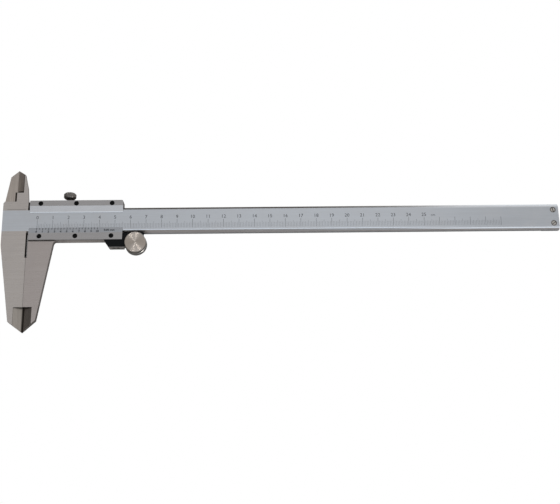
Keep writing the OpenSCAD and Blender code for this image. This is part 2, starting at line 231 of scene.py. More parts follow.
def make_lights():
    """One broad fill for the paint and the black screws; reflections don't show it."""
    fill = area_light("fill", place=(0.16, -0.2, 1.8), target=(0.16, 0, 0), size=2.4, power=42,
                      colour=(1.0, 1.0, 1.0))
    fill.visible_glossy = False


def light_turned_faces(screw, wheel, face):
    """Small lights for the turned pieces alone: two put rays on the faces, one glints on the rim."""
    centre = (WHEEL_LOW + WHEEL_HIGH) / 2 * MM
    warm = (1.0, 0.97, 0.94)
    # name, place from the roller's middle, size, power, and the pieces that it lights
    spots = (
        ("right_ray_spot", (0.08, 0.02, 1.3), 0.05, 0.5, (screw, face)),
        ("left_ray_spot", (-0.25, -0.05, 1.28), 0.05, 0.5, (screw, face)),
        ("rim_spot", (0.94, -0.91, 0.43), 0.3, 4.5, (screw, wheel)),
    )
    for name, offset, size, power, seen_by in spots:
        spot = area_light(name, centre + Vector(offset), centre, size, power, warm)
        lit = bpy.data.collections.new(name + "_lit")
        for piece in seen_by:
            lit.objects.link(piece)
        spot.light_linking.receiver_collection = lit


def make_floor():
    """Floor just under the caliper's lowest point: white to the camera, dim in reflections."""
    mesh = bpy.data.meshes.new("floor")
    reach = 6.0
    gap = 0.02 * MM
    level = CAD_BOUNDS[0].z - gap
    corners = [(sx * reach, sy * reach, level) for sx, sy in ((-1, -1), (1, -1), (1, 1), (-1, 1))]
    mesh.from_pydata(corners, [], [(0, 1, 2, 3)])
    floor = bpy.data.objects.new("floor", mesh)
    bpy.context.scene.collection.objects.link(floor)
    material = bpy.data.materials.new("white_floor")
    material.use_nodes = True
    graph = Graph(material.node_tree)
    reflected = graph.add("ShaderNodeBsdfDiffuse")
    graph.feed(reflected.inputs["Color"], (*DIM, 1))
    glow = graph.add("ShaderNodeEmission")
    graph.feed(glow.inputs["Strength"], 1.0)
    shader = graph.add("ShaderNodeMixShader")
    graph.feed(shader.inputs[0], graph.add("ShaderNodeLightPath").outputs["Is Camera Ray"])
    graph.feed(shader.inputs[1], reflected.outputs[0])
    graph.feed(shader.inputs[2], glow.outputs[0])
    output = graph.add("ShaderNodeOutputMaterial")
    graph.feed(output.inputs[0], shader.outputs[0])
    mesh.materials.append(material)


# ---------------------------------------------------------------- finishes

# Metals, each with the tint that its tone drifts towards
JAW, JAW_DRIFT = (0.59, 0.55, 0.525), (0.55, 0.51, 0.485)
SLIDER, SLIDER_DRIFT = (0.53, 0.485, 0.465), (0.505, 0.455, 0.44)
PLATE, PLATE_DRIFT = (0.475, 0.465, 0.47), (0.45, 0.44, 0.445)
SATIN, SATIN_DRIFT = (0.66, 0.69, 0.735), (0.64, 0.655, 0.685)
END_SCREW, END_SCREW_DRIFT = (0.62, 0.60, 0.57), (0.52, 0.50, 0.47)
# Thinned ends of the jaws, painted shaded on the slider and painted lit on the beam
FIN, LIT_FIN = (0.52, 0.465, 0.42), (0.62, 0.55, 0.495)
DIM_TIP, LIT_TIP = (0.36, 0.325, 0.30), (0.43, 0.395, 0.36)
# Painted highlights along edges, oil, and the tints of painted shade
TOE = (0.70, 0.72, 0.75)
PALE = (0.95, 0.96, 0.98)
OIL = (0.12, 0.10, 0.085)
PAINTED_SHADE = (0.03, 0.025, 0.021)
CORNER_PAINTED_SHADE = (0.035, 0.029, 0.024)
# Height of the tool lines, and how far the painted corner shade reaches out of a corner
RELIEF = 0.0025
CORNER_REACH = 1.6

# Satin band across the beam's face, and the thin line above it on the head
BAND_Y = (1.62, 15.75)
HEAD_LINE_X = (-13.8, -1.6)
HEAD_LINE_Y = (16.05, 16.6)
# Top of the thinned knife edges, and the foot of each inside jaw's bevel
KNIFE_TOP = -48.7
FIXED_FIN_FOOT = 28.1
MOVING_FIN_FOOT = 21.9
# Slot between the long jaws with the seam below it, and the gap between the head and the slider
JAW_SLOT_X = (-0.75, 0.75)
JAW_SLOT_Y = (-16.3, 0.5)
SEAM_X = (-0.2, 0.2)
HEAD_GAP_X = (-0.5, 1.1)
HEAD_GAP_Y = (17.3, 22.1)
# Slot between the moving fin and its arm
FIN_SLOT_X = (-9.65, -7.4)
FIN_SLOT_Y = (22, 28.9)
FIN_SLOT_Z = (2, 3.7)
# Foot of the fixed fin's bevel, and the brink of the face round the bevel
FIN_BEVEL_X = (-9.6, -3.9)
FIN_BEVEL_Y = (FIXED_FIN_FOOT - 0.1, FIXED_FIN_FOOT + 1.1)
FIN_BEVEL_LOW = 3.75
FIN_BRINK_X = (-8.6, -3.5)
# Right end of the long moving jaw, and the roller bracket's underside
MOVING_JAW_END_X = (19, 17)
BRACKET_FOOT = -9.9
# Stretches along the beam (X) and across it (Y) where painted light and shade and rolled edges grow
# from none to full
ON_BEAM_X = (0, 0.5)
DARK_CHAMFER_X = (330, 150)
PALE_CHAMFER_X = (165, 330)
SHADED_END_X = (250, 330)
BRIGHT_RIM_X = (230, 285)
LOWER_SHEEN_X = (90, 230)
LOWER_SHEEN_Y = (0.6, 0.9)
FACE_ROLL_X = (290, 225)
LOW_ROLL_X = (215, 300)
LOW_ROLL_Y = (1.6, 0.9)
HIGH_ROLL_Y = (BEAM_TOP_Y - 1.6, BEAM_TOP_Y)
# Middle stretch where a painted sheen brightens the scale, and how softly it ends
SHEEN_MIDDLE_X = (100, 255)
SHEEN_MIDDLE_SOFT = 60


class Finish(Graph):
    """A material around one Principled shader, patterned in the piece's own coordinates."""

    def __init__(self, name, metallic, specular=0.5):
        self.material = bpy.data.materials.new(name)
        self.material.use_nodes = True
        super().__init__(self.material.node_tree)
        self.shader = self.add("ShaderNodeBsdfPrincipled")
        self.shader.inputs["Metallic"].default_value = metallic
        self.shader.inputs["Specular IOR Level"].default_value = specular
        output = self.add("ShaderNodeOutputMaterial")
        self.tree.links.new(self.shader.outputs[0], output.inputs[0])
        self.coords = self.add("ShaderNodeTexCoord").outputs["Object"]
        in_mm = [self.math("MULTIPLY", part, 1 / MM) for part in self.split(self.coords)]
        self.x, self.y, self.z = in_mm

    def set(self, colour, rough):
        """Feeds the shader its colour and its roughness."""
        self.feed(self.shader.inputs["Base Color"], colour)
        self.feed(self.shader.inputs["Roughness"], rough)

    def bump(self, height, distance_mm):
        """Relief whose height is this many millimetres where the value is 1."""
        made = self.add("ShaderNodeBump")
        made.inputs["Distance"].default_value = distance_mm * MM
        self.feed(made.inputs["Height"], height)
        self.feed(self.shader.inputs["Normal"], made.outputs[0])

    def grimed(self, colour):
        """The colour, darkened by painted shade in the piece's own inner corners."""
        openness = self.add("ShaderNodeAmbientOcclusion", samples=12, only_local=True)
        openness.inputs["Distance"].default_value = CORNER_REACH * MM
        return self.mix(self.ramp(openness.outputs["AO"], 0.45, 0.97), CORNER_PAINTED_SHADE, colour)

    def stain(self, colour, mask, amount, tint=PAINTED_SHADE):
        """The colour, drawn towards a tint (painted shade by default) by this amount where the mask is
        1.
        """
        return self.mix(self.math("MULTIPLY", mask, amount), colour, tint)

    def blend(self, factor, first, second):
        """Mixes two values."""
        made = self.add("ShaderNodeMix", data_type="FLOAT")
        for index, value in ((0, factor), (2, first), (3, second)):
            self.feed(made.inputs[index], value)
        return made.outputs[0]

    def above(self, value, level, soft=0.05):
        """1 where value is over this level, in millimetres."""
        return self.ramp(value, level - soft, level + soft)

    def below(self, value, level, soft=0.05):
        """1 where value is under this level, in millimetres."""
        return self.ramp(value, level + soft, level - soft)

    def between(self, value, low, high, soft=0.05):
        """1 where value lies between low and high, in millimetres."""
        return self.math("MULTIPLY", self.above(value, low, soft), self.below(value, high, soft))

    def all_of(self, *masks):
        """1 where every mask is 1."""
        product = masks[0]
        for mask in masks[1:]:
            product = self.math("MULTIPLY", product, mask)
        return product

    def length(self, off_x, off_y):
        """Length of a flat vector."""
        squares = [self.math("MULTIPLY", part, part) for part in (off_x, off_y)]
        return self.math("SQRT", self.math("ADD", *squares))


def shade(colour, factor):
    """The colour, made lighter or darker by a factor."""
    return tuple(part * factor for part in colour)


def lines_along(finish, axis, fine=9000, broad=1500):
    """Tool lines along one axis (0, 1 or 2), from 0 to 1: fine lines with some broader streaks."""
    stretch = [1.0, 1.0, 1.0]
    stretch[axis] = 0.012
    thin = finish.noise(finish.coords, fine, 2, stretch)
    wide = finish.noise(finish.coords, broad, 2, stretch)
    return finish.math("ADD", finish.math("MULTIPLY", thin, 0.6), finish.math("MULTIPLY", wide, 0.4))


def toned(finish, lines, colour, contrast, drift_colour):
    """Colour that follows the tool lines and drifts slowly towards a second tint."""
    dark, light = shade(colour, 1 - contrast), shade(colour, 1 + contrast)
    tone = finish.mix(finish.ramp(lines, 0.3, 0.7), dark, light)
    drift = finish.ramp(finish.noise(finish.coords, 70, 3), 0.4, 0.7, 0.0, 0.5)
    return finish.mix(drift, tone, drift_colour)


def glossed(finish, lines, rough, spread=0.04):
    """Roughness that follows the tool lines, with a few handled patches."""
    base = finish.ramp(lines, 0.3, 0.7, rough - spread, rough + spread)
    smear = finish.ramp(finish.noise(finish.coords, 160, 4), 0.5, 0.8, 0.0, 0.06)
    return finish.math("ADD", base, smear)


def ground_steel(name, colour, drift, rough, axis=0, contrast=0.07):
    """Ground metal: tool lines along one axis, slow drifts of tone and handled patches."""
    finish = Finish(name, metallic=1.0)
    lines = lines_along(finish, axis)
    tone = toned(finish, lines, colour, contrast, drift)
    finish.set(finish.grimed(tone), glossed(finish, lines, rough))
    finish.bump(lines, RELIEF)
    return finish.material


def from_end_screw(finish):
    """Distance from the middle of the nearer end screw, in millimetres."""
    middle = (END_SCREWS_LOW + END_SCREWS_HIGH) / 2
    half_gap = END_SCREWS_HIGH.y - END_SCREW_R - middle.y
    above = finish.math("ABSOLUTE", finish.math("SUBTRACT", finish.y, middle.y))
    off_x = finish.math("SUBTRACT", finish.x, middle.x)
    return finish.length(off_x, finish.math("SUBTRACT", above, half_gap))


def end_screw_steel():
    """Bright steel, dark with oil round the rim of each head."""
    finish = Finish("end_screw_steel", metallic=1.0)
    lines = lines_along(finish, 1)
    colour = toned(finish, lines, END_SCREW, 0.12, END_SCREW_DRIFT)
    rim = finish.ramp(from_end_screw(finish), END_SCREW_R - 0.6, END_SCREW_R - 0.25)
    finish.set(finish.grimed(finish.stain(colour, rim, 0.75, OIL)), glossed(finish, lines, 0.27))
    finish.bump(lines, RELIEF)
    return finish.material


def jaw_dirt(finish, tip):
    """Mask of painted shade along the knife edge and the jaws' seam, in their slot and beside the head.
    """
    knife = finish.all_of(tip, finish.ramp(finish.math("ABSOLUTE", finish.x), 1.1, 0.35))
    mouth = finish.between(finish.z, BEAM_LOW.z + 0.3, FACE_Z + 0.2)
    slot = finish.all_of(mouth, finish.between(finish.x, *JAW_SLOT_X),
                         finish.between(finish.y, *JAW_SLOT_Y))
    deep = finish.between(finish.z, BEAM_LOW.z + 0.3, FACE_Z - 0.2, 0.1)
    gap = finish.all_of(deep, finish.between(finish.x, *HEAD_GAP_X),
                        finish.between(finish.y, *HEAD_GAP_Y))
    seam = finish.all_of(finish.between(finish.x, *SEAM_X),
                         finish.between(finish.y, KNIFE_TOP, JAW_SLOT_Y[0] + 0.3))
    thin = finish.math("ADD", knife, finish.math("MULTIPLY", seam, 0.25))
    return finish.math("ADD", finish.math("ADD", slot, gap), thin, clamp=True)


def jaw_tone(finish, face, fin_foot, fin_colour, tip_colour):
    """Colour and tool lines of a ground jaw: along X on the faces, along Y where it is thinned."""
    sunk = finish.between(finish.z, BEAM_LOW.z + 0.15, FACE_Z - 0.05, 0.03)
    tip = finish.all_of(sunk, finish.below(finish.y, KNIFE_TOP))
    fin = finish.all_of(sunk, finish.above(finish.y, fin_foot))
    thinned = finish.math("ADD", tip, fin)
    lines = finish.blend(thinned, lines_along(finish, 0), lines_along(finish, 1))
    colour = toned(finish, lines, face[0], 0.07, face[1])
    for zone, tint in ((tip, tip_colour), (fin, fin_colour)):
        colour = finish.mix(zone, colour, toned(finish, lines, tint, 0.24, shade(tint, 0.9)))
    # painted shade in the slot, the gap beside the head and along the knife edge
    return finish.stain(colour, jaw_dirt(finish, tip), 0.93), lines


def slider_steel():
    """Ground steel of the slider frame and its two jaws."""
    finish = Finish("slider_steel", metallic=1.0)
    colour, lines = jaw_tone(finish, (SLIDER, SLIDER_DRIFT), MOVING_FIN_FOOT, FIN, DIM_TIP)
    # painted shade in the slot between the moving fin and its arm
    slot = finish.all_of(finish.between(finish.z, *FIN_SLOT_Z, 0.1),
                         finish.between(finish.x, *FIN_SLOT_X), finish.between(finish.y, *FIN_SLOT_Y))
    colour = finish.stain(colour, slot, 0.95)
    # painted shadow on the long jaw's face, in the corner under the vernier plate
    foot = VERNIER_LOW.y
    corner = finish.all_of(finish.ramp(finish.y, foot - 0.75, foot - 0.15),
                           finish.ramp(finish.y, foot, foot - 0.05),
                           finish.ramp(finish.z, FACE_Z - 0.1, FACE_Z))
    colour = finish.stain(colour, corner, 0.75)
    # the lower side is rougher, and brighter from a painted reflection
    side = finish.between(finish.y, foot - 0.04, foot + 0.04, 0.02)
    colour = finish.mix(side, colour, toned(finish, lines, shade(JAW, 1.4), 0.07, JAW))
    rough = finish.math("ADD", glossed(finish, lines, 0.30), finish.math("MULTIPLY", side, 0.25))
    finish.set(finish.grimed(colour), rough)
    finish.bump(lines, RELIEF)
    return finish.material


def plate_steel():
    """Front plates' ground steel, with a painted highlight on the upper toe and painted shade by the
    long jaw.
    """
    finish = Finish("plate_steel", metallic=1.0)
    lines = lines_along(finish, 0)
    colour = toned(finish, lines, PLATE, 0.07, PLATE_DRIFT)
    # painted highlight along the upper plate's toe
    toe = finish.between(finish.y, TOE_Y - 0.1, TOE_Y + 0.5, 0.1)
    colour = finish.stain(colour, toe, 0.8, TOE)
    # painted shade along the plate's lower edge beside the long jaw
    foot = VERNIER_LOW.y
    edge = finish.all_of(finish.ramp(finish.y, foot + 0.1, foot + 0.04),
                         finish.ramp(finish.x, *MOVING_JAW_END_X))
    finish.set(finish.grimed(finish.mix(edge, colour, PAINTED_SHADE)), glossed(finish, lines, 0.29))
    finish.bump(lines, RELIEF)
    return finish.material


def fin_grime(finish, colour):
    """The beam's colour with painted shade at the foot of the fixed fin's bevel and along its brink."""
    foot = finish.all_of(finish.between(finish.y, *FIN_BEVEL_Y, 0.2),
                         finish.between(finish.x, *FIN_BEVEL_X),
                         finish.between(finish.z, FIN_BEVEL_LOW, FACE_Z + 0.1))
    colour = finish.stain(colour, foot, 0.85)
    brink = finish.all_of(finish.above(finish.y, FIXED_FIN_FOOT),
                          finish.between(finish.x, *FIN_BRINK_X),
                          finish.between(finish.z, FACE_Z - 0.25, FACE_Z - 0.05, 0.03))
    return finish.stain(colour, brink, 0.5)


def satin_tone(finish, lines):
    """Satin of the scale's band: a painted sheen along its middle, painted shade towards the far end.
    """
    satin = toned(finish, lines, SATIN, 0.05, SATIN_DRIFT)
    sheen_middle = finish.between(finish.x, *SHEEN_MIDDLE_X, SHEEN_MIDDLE_SOFT)
    satin = finish.stain(satin, sheen_middle, 0.35, shade(SATIN, 1.22))
    shaded_end = toned(finish, lines, shade(SATIN, 0.88), 0.05, SATIN_DRIFT)
    return finish.mix(finish.ramp(finish.x, *SHADED_END_X), satin, shaded_end)


def edge_tone(finish, colour, lines, on_face):
    """The beam's colour with painted reflections and highlights along its long edges."""
    # upper chamfer: a painted dark reflection along the travel and a painted pale one beyond it
    upper = finish.all_of(finish.ramp(finish.y, BAND_Y[1], BAND_Y[1] + 0.15),
                          finish.ramp(on_face, 0.5, 0))
    dark_chamfer = finish.all_of(upper, finish.ramp(finish.x, *ON_BEAM_X), finish.ramp(finish.x, *DARK_CHAMFER_X))
    dark_chamfer_tone = toned(finish, lines, shade(JAW, 0.5), 0.1, shade(JAW, 0.42))
    colour = finish.mix(dark_chamfer, colour, dark_chamfer_tone)
    # painted highlight along the face's upper rim towards the far end
    rim = finish.all_of(on_face, finish.between(finish.y, BAND_Y[1] - 0.5, BAND_Y[1] + 0.1, 0.15),
                        finish.ramp(finish.x, *BRIGHT_RIM_X))
    colour = finish.stain(colour, rim, 0.75, PALE)
    wear_and_sheen = finish.all_of(upper, finish.ramp(finish.x, *PALE_CHAMFER_X))
    colour = finish.mix(wear_and_sheen, colour, toned(finish, lines, PALE, 0.05, PALE))
    # lower side and lower chamfer: painted reflection, the chamfer's in its upper half beyond the
    # travel
    side = finish.all_of(finish.ramp(finish.y, 0.15, 0.05), finish.ramp(finish.x, *ON_BEAM_X))
    colour = finish.stain(colour, side, 0.8, shade(SATIN, 1.1))
    lower = finish.ramp(finish.y, BAND_Y[0], BAND_Y[0] - 0.1)
    lower_sheen = finish.all_of(lower, finish.ramp(finish.y, *LOWER_SHEEN_Y), finish.ramp(finish.x, *LOWER_SHEEN_X))
    return finish.stain(colour, lower_sheen, 0.7, shade(SATIN, 1.15))


def beam_relief(finish, lines, band):
    """Height in millimetres: tool lines, the band's grain, and rolled edges that catch the light."""
    grain = finish.math("MULTIPLY", finish.noise(finish.coords, 14000, 1), band)
    relief = finish.math("MULTIPLY", finish.math("ADD", lines, grain), RELIEF)
    face_roll = finish.all_of(finish.ramp(finish.y, BAND_Y[0] + 0.6, BAND_Y[0] - 0.05),
                              finish.ramp(finish.x, *ON_BEAM_X),
                              finish.ramp(finish.x, *FACE_ROLL_X, 0.25))
    low_roll = finish.all_of(finish.ramp(finish.y, *LOW_ROLL_Y), finish.ramp(finish.x, *LOW_ROLL_X))
    high_roll = finish.all_of(finish.ramp(finish.y, *HIGH_ROLL_Y, smooth=False),
                              finish.ramp(finish.x, *PALE_CHAMFER_X))
    for roll, height in ((face_roll, -0.19), (low_roll, 0.24), (high_roll, 0.65)):
        relief = finish.math("ADD", relief, finish.math("MULTIPLY", roll, height))
    return relief


def beam_steel():
    """Ground head and jaws, with a satin band that carries the scale from the head to the far end."""
    finish = Finish("beam_steel", metallic=1.0)
    colour, lines = jaw_tone(finish, (JAW, JAW_DRIFT), FIXED_FIN_FOOT, LIT_FIN, LIT_TIP)
    colour = fin_grime(finish, colour)
    on_face = finish.ramp(finish.z, FACE_Z - 0.15, FACE_Z - 0.02)
    band = finish.all_of(finish.between(finish.y, *BAND_Y), on_face)
    colour = finish.mix(band, colour, satin_tone(finish, lines))
    # thin line across the head, and oil round the end screws
    score = finish.all_of(finish.between(finish.y, *HEAD_LINE_Y), on_face,
                          finish.between(finish.x, *HEAD_LINE_X))
    colour = finish.stain(colour, score, 0.45, shade(JAW, 0.3))
    ring = finish.ramp(from_end_screw(finish), END_SCREW_R + 0.4, END_SCREW_R + 0.15)
    colour = finish.stain(colour, finish.all_of(ring, on_face), 0.7, OIL)
    colour = edge_tone(finish, colour, lines, on_face)
    rough = finish.math("ADD", glossed(finish, lines, 0.30), finish.math("MULTIPLY", band, 0.06))
    finish.set(finish.grimed(colour), rough)
    finish.bump(beam_relief(finish, lines, band), 1)
    return finish.material


def turned_steel(name, colour, rough, anisotropic):
    """Faced and turned steel whose tool lines run round the piece's own middle."""
    finish = Finish(name, metallic=1.0)
    across = finish.split(finish.add("ShaderNodeTexCoord").outputs["Generated"])
    radius = finish.length(*[finish.math("SUBTRACT", part, 0.5) for part in across[:2]])
    rings = finish.add("ShaderNodeTexNoise", noise_dimensions="1D")
    finish.feed(rings.inputs["W"], finish.math("MULTIPLY", radius, 60))
    rings.inputs["Detail"].default_value = 3
    tone = finish.mix(finish.ramp(rings.outputs[0], 0.3, 0.7), shade(colour, 0.9), shade(colour, 1.1))
    finish.set(tone, finish.ramp(rings.outputs[0], 0.3, 0.7, rough - 0.04, rough + 0.04))
    finish.bump(rings.outputs[0], 0.004)
    finish.shader.inputs["Anisotropic"].default_value = anisotropic
    finish.shader.inputs["Anisotropic Rotation"].default_value = 0.25
    tangent = finish.add("ShaderNodeTangent", direction_type="RADIAL", axis="Z")
    finish.tree.links.new(tangent.outputs[0], finish.shader.inputs["Tangent"])
    return finish.material


def black_finish(name, colour, rough, specular):
    """Blackened or painted steel with a fine grain and slight wear; returns the finish and its tone."""
    finish = Finish(name, metallic=0.0, specular=specular)
    grain = finish.noise(finish.coords, 6000, 2)
    wear_and_sheen = finish.noise(finish.coords, 900, 4)
    tone = finish.mix(finish.ramp(wear_and_sheen, 0.55, 0.8), colour, shade(colour, 2.2))
    finish.set(tone, finish.ramp(grain, 0.3, 0.7, rough - 0.06, rough + 0.06))
    finish.bump(grain, 0.004)
    return finish, tone


def bracket_finish():
    """Black paint with a bare ground underside."""
    black = (0.0022, 0.0022, 0.0028)
    finish, paint = black_finish("bracket_black", black, rough=0.45, specular=0.12)
    bare = finish.between(finish.y, BRACKET_FOOT - 0.09, BRACKET_FOOT + 0.09, 0.03)
    steel = toned(finish, lines_along(finish, 0), JAW, 0.1, JAW_DRIFT)
    finish.feed(finish.shader.inputs["Base Color"], finish.mix(bare, paint, steel))
    finish.feed(finish.shader.inputs["Metallic"], bare)
    return finish.material


def assign(obj, material):
    """Gives the whole object this one material."""
    obj.data.materials.clear()
    obj.data.materials.append(material)
    for polygon in obj.data.polygons:
        polygon.material_index = 0


# ---------------------------------------------------------------- graduations

# How far the marks stand out of the steel, and how deep they reach into it
INK_RAISE = 0.008
INK_SINK = 0.02
# Height of the built-in font's figures, as a part of its size
FIGURE_HEIGHT = 0.72
# Main scale: where it starts, and its ticks by the millimetres that they count
SCALE_ZERO = 6.05
SCALE_MM = 300
TICK_FOOT = 3.15
TICK_LENGTHS = {10: 5.7, 5: 4.4, 1: 3.3}
TICK_WIDTHS = {10: 0.17, 5: 0.1, 1: 0.1}
# Its numbers, and its unit
LAST_NUMBER = 25
NUMBER_FOOT = 9.6
NUMBER_H = 2.3
UNIT_X = 262
UNIT_H = 1.7
# Vernier scale: its steps and their whole width, and its bevel's upper end and thin edge
VERNIER_STEPS = 20
VERNIER_SPAN = 39
VERNIER_BEVEL_Y = -0.2
VERNIER_EDGE_T = 0.2
# Its ticks (the numbered ones are longer), numbers and note, as measured from the thin edge
VERNIER_TICK_TOP = -0.1
VERNIER_TICK_W = 0.34
VERNIER_LENGTHS = (1.75, 1.35)
VERNIER_NUMBER_FOOT = -3.75
VERNIER_NUMBER_H = 1.45
VERNIER_BOLD = 0.09
NOTE_X = 52.7
NOTE_FOOT = -2.75
NOTE_H = 1.4


def add_bar(mesh, corners, place):
    """A thin bar whose footprint has these four corners; place turns (x, y, height) into a point."""
    bottom = [mesh.verts.new(place(x, y, -INK_SINK)) for x, y in corners]
    top = [mesh.verts.new(place(x, y, INK_RAISE)) for x, y in corners]
    mesh.faces.new(top)
    mesh.faces.new(bottom[::-1])
    for i in range(4):
        j = (i + 1) % 4
        mesh.faces.new((bottom[i], bottom[j], top[j], top[i]))


def add_tick(mesh, x, y0, y1, width, place):
    """An upright line of this width around x, from y0 to y1."""
    half = width / 2
    add_bar(mesh, ((x - half, y0), (x + half, y0), (x + half, y1), (x - half, y1)), place)


def text_mesh(text, height, bold):
    """The built-in font's outline of a short text as a thin solid, in millimetres."""
    curve = bpy.data.curves.new("text", "FONT")
    curve.body = text
    curve.size = height / FIGURE_HEIGHT
    curve.align_x = "CENTER"
    curve.resolution_u = 3
    curve.extrude = (INK_RAISE + INK_SINK) / 2
    curve.offset = bold
    holder = bpy.data.objects.new("text", curve)
    bpy.context.scene.collection.objects.link(holder)
    bpy.context.view_layer.update()
    mesh = bpy.data.meshes.new_from_object(holder.evaluated_get(bpy.context.evaluated_depsgraph_get()))
    bpy.data.objects.remove(holder)
    return mesh


def add_text(mesh, text, x, y, height, place, bold=0.0):
    """Adds a centred text whose foot is at y; bold widens its strokes by twice that length."""
    letters = text_mesh(text, height, bold)
    start = len(mesh.verts)
    mesh.from_mesh(letters)
    mesh.verts.ensure_lookup_table()
    middle = (INK_RAISE - INK_SINK) / 2
    for vert in mesh.verts[start:]:
        vert.co = place(x + vert.co.x, y + vert.co.y, vert.co.z + middle)
    bpy.data.meshes.remove(letters)


def piece_from(mesh, name, body, material):
    """Turns a bmesh in millimetres into a piece that rides on a body."""
    bmesh.ops.scale(mesh, vec=(MM, MM, MM), verts=mesh.verts)
    data = bpy.data.meshes.new(name)
    mesh.to_mesh(data)
    mesh.free()
    piece = bpy.data.objects.new(name, data)
    bpy.context.scene.collection.objects.link(piece)
    data.materials.append(material)
    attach(piece, body)
    return piece


def on_beam(x, y, height):
    """A point over the beam's face."""
    return Vector((x, y, FACE_Z + height))


VERNIER_FALL = VERNIER_HIGH.z - VERNIER_LOW.z - VERNIER_EDGE_T
VERNIER_RUN = VERNIER_HIGH.y - VERNIER_BEVEL_Y
VERNIER_SLOPE = math.atan(VERNIER_FALL / VERNIER_RUN)


def on_vernier(x, y, height):
    """A point over the vernier's bevel; y runs along the slope, and is 0 at the bevel's thin edge."""
    normal = Vector((0, math.sin(VERNIER_SLOPE), math.cos(VERNIER_SLOPE)))
    along = Vector((0, math.cos(VERNIER_SLOPE), -math.sin(VERNIER_SLOPE)))
    edge = Vector((x, VERNIER_HIGH.y, VERNIER_LOW.z + VERNIER_EDGE_T))
    return edge + along * y + normal * height


def make_main_scale(ink):
    """Millimetre ticks along the beam, with a number at each centimetre."""
    mesh = bmesh.new()
    for n in range(SCALE_MM + 1):
        step = 10 if n % 10 == 0 else 5 if n % 5 == 0 else 1
        top = TICK_FOOT + TICK_LENGTHS[step]
        add_tick(mesh, SCALE_ZERO + n, TICK_FOOT, top, TICK_WIDTHS[step], on_beam)
    for n in range(LAST_NUMBER + 1):
        add_text(mesh, str(n), SCALE_ZERO + 10 * n, NUMBER_FOOT, NUMBER_H, on_beam)
    add_text(mesh, "cm", UNIT_X, NUMBER_FOOT, UNIT_H, on_beam)
    return piece_from(mesh, "main_scale_marks", "beam", ink)


def make_vernier_scale(ink):
    """Ticks down the vernier's bevel, with a number at every second one, and the resolution."""
    mesh = bmesh.new()
    pitch = VERNIER_SPAN / VERNIER_STEPS
    for n in range(VERNIER_STEPS + 1):
        foot = VERNIER_TICK_TOP - VERNIER_LENGTHS[n % 2]
        add_tick(mesh, SCALE_ZERO + pitch * n, foot, VERNIER_TICK_TOP, VERNIER_TICK_W, on_vernier)
    for n in range(VERNIER_STEPS // 2 + 1):
        add_text(mesh, str(n), SCALE_ZERO + 2 * pitch * n, VERNIER_NUMBER_FOOT, VERNIER_NUMBER_H,
                 on_vernier, VERNIER_BOLD)
    add_text(mesh, "0.05 mm", NOTE_X, NOTE_FOOT, NOTE_H, on_vernier, VERNIER_BOLD)
    return piece_from(mesh, "vernier_marks", "slider", ink)


# ---------------------------------------------------------------- turned pieces


def lathe(mesh, rings, sides, place, bored=False):
    """A closed turned shape; each ring is (height, radius at an angle), and place gives its points."""
    angles = [2 * math.pi * i / sides for i in range(sides)]
    rows = []
    for height, radius_at in rings:
        flat = [(radius_at(a) * math.cos(a), radius_at(a) * math.sin(a)) for a in angles]
        rows.append([mesh.verts.new(place(u, v, height)) for u, v in flat])
    if bored:
        rows.append(rows[0])
    else:
        mesh.faces.new(rows[0][::-1])
        mesh.faces.new(rows[-1])
    for lower, upper in zip(rows, rows[1:]):
        for i in range(sides):
            j = (i + 1) % sides
            mesh.faces.new((lower[i], lower[j], upper[j], upper[i]))


def plain(radius):
    """The same radius at every angle."""
    return lambda angle: radius


def knurl(radius, depth, teeth):
    """Radius of a straight knurl with rounded crests."""
    return lambda angle: radius - depth * (0.5 - 0.5 * math.cos(teeth * angle)) ** 0.7


def thread(radius, depth, pitch, height):
    """Radius of a single-start thread at one height."""
    def radius_at(angle):
        turn = (height / pitch - angle / (2 * math.pi)) % 1
        return radius - depth * (1 - abs(2 * turn - 1))
    return radius_at


def smooth_by_angle(piece, degrees=35):
    """Shades the piece smooth except across edges sharper than this."""
    mesh = piece.data
    mesh.polygons.foreach_set("use_smooth", [True] * len(mesh.polygons))
    mesh.set_sharp_from_angle(angle=math.radians(degrees))


def make_lock_screw(material):
    """Clamp screw: threaded stem, and a knurled head with a chamfer at each end."""
    middle_x = (LOCK_LOW.x + LOCK_HIGH.x) / 2
    middle_z = (LOCK_LOW.z + LOCK_HIGH.z) / 2
    head_r = (LOCK_HIGH.x - LOCK_LOW.x) / 2
    head_h = 3.5
    bevel = 0.7
    knurl_depth = 0.2
    teeth = 44
    stem_r = 1.5
    point_r = 1.2
    thread_depth = 0.25
    pitch = 0.5
    rows_per_turn = 6
    start = LOCK_LOW.y + 0.2
    top = LOCK_HIGH.y
    under = top - head_h
    rings = [(LOCK_LOW.y, plain(point_r))]
    for i in range(int((under - start) / pitch * rows_per_turn)):
        height = start + i * pitch / rows_per_turn
        rings.append((height, thread(stem_r, thread_depth, pitch, height)))
    rings += [
        (under, plain(stem_r - thread_depth)), (under, plain(head_r - bevel)),
        (under + bevel - 0.05, plain(head_r - 0.08)),
        (under + bevel + 0.1, knurl(head_r, knurl_depth, teeth)),
        (top - bevel - 0.1, knurl(head_r, knurl_depth, teeth)),
        (top - bevel + 0.05, plain(head_r - 0.08)),
        (top - 0.08, plain(head_r - bevel + 0.03)), (top, plain(head_r - bevel - 0.06)),
        (top, plain(head_r - bevel - 0.9)), (top - 0.18, plain(head_r - bevel - 1.1)),
    ]
    mesh = bmesh.new()
    lathe(mesh, rings, teeth * 4, lambda u, v, h: Vector((middle_x + u, h, middle_z - v)))
    piece = piece_from(mesh, "lock_screw_knurled", "lock_screw", material)
    smooth_by_angle(piece)
    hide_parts("lock_screw")
    return piece


def roller_place(u, v, h):
    """A point this far right of and above the roller's middle, at a level h."""
    middle = (WHEEL_LOW + WHEEL_HIGH) / 2
    return Vector((middle.x + u, middle.y + v, h))


